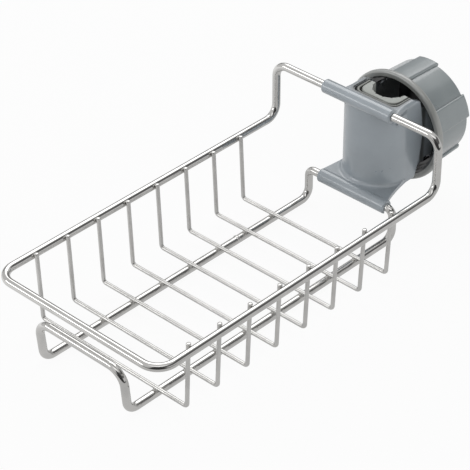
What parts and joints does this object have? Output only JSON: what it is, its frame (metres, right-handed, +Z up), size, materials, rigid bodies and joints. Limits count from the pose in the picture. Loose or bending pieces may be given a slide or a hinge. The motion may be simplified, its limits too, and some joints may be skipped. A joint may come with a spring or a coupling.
{
  "type": "sponge holder",
  "caption": "Bent-wire sponge basket whose upstand is held to a faucet pipe by a plastic clamp with nested soft liners and a lobed screw cap.",
  "frame": {"origin": "where the axis of the clamped pipe crosses the axis of the clamp's screw cap", "axes": "+Z up along the pipe, +Y along the screw axis from the basket to the cap, +X across the basket"},
  "size_m": [0.104, 0.2402, 0.0712],
  "materials": {
    "steel_wire": "polished stainless steel",
    "bracket_plastic": "satin moulded",
    "cap_plastic": "satin moulded",
    "ring_plastic": "satin moulded",
    "outer_pad_rubber": "soft moulded",
    "inner_pad_rubber": "soft moulded"
  },
  "bodies": {
    "rack": {"rim_wire": "steel_wire", "base_wire": "steel_wire", "cross_wire_1": "steel_wire", "cross_wire_2": "steel_wire", "cross_wire_3": "steel_wire", "cross_wire_4": "steel_wire", "cross_wire_5": "steel_wire", "cross_wire_6": "steel_wire", "cross_wire_7": "steel_wire", "cross_wire_8": "steel_wire", "clamp_bracket": "bracket_plastic"},
    "ring": {"pressure_ring": "ring_plastic"},
    "cap": {"clamp_cap": "cap_plastic"},
    "outer_liner": {"outer_pad": "outer_pad_rubber"},
    "inner_liner": {"inner_pad": "inner_pad_rubber"}
  },
  "joints": [
    {"name": "cap_advance", "type": "slide", "parent": "rack", "child": "ring", "axis": [0, 1, 0], "range_m": [0, 0.012]},
    {"name": "cap_turn", "type": "hinge", "parent": "ring", "child": "cap", "pos_m": [0, 0, 0], "axis": [0, 1, 0], "range_deg": [0, 1080]},
    {"name": "outer_pad_lift", "type": "slide", "parent": "rack", "child": "outer_liner", "axis": [0, 0, 1], "range_m": [0, 0.042]},
    {"name": "inner_pad_lift", "type": "slide", "parent": "outer_liner", "child": "inner_liner", "axis": [0, 0, 1], "range_m": [0, 0.042]}
  ],
  "couplings": [
    {"joint": "cap_advance", "follows": "cap_turn", "m_per_rad": 0.00063662}
  ]
}
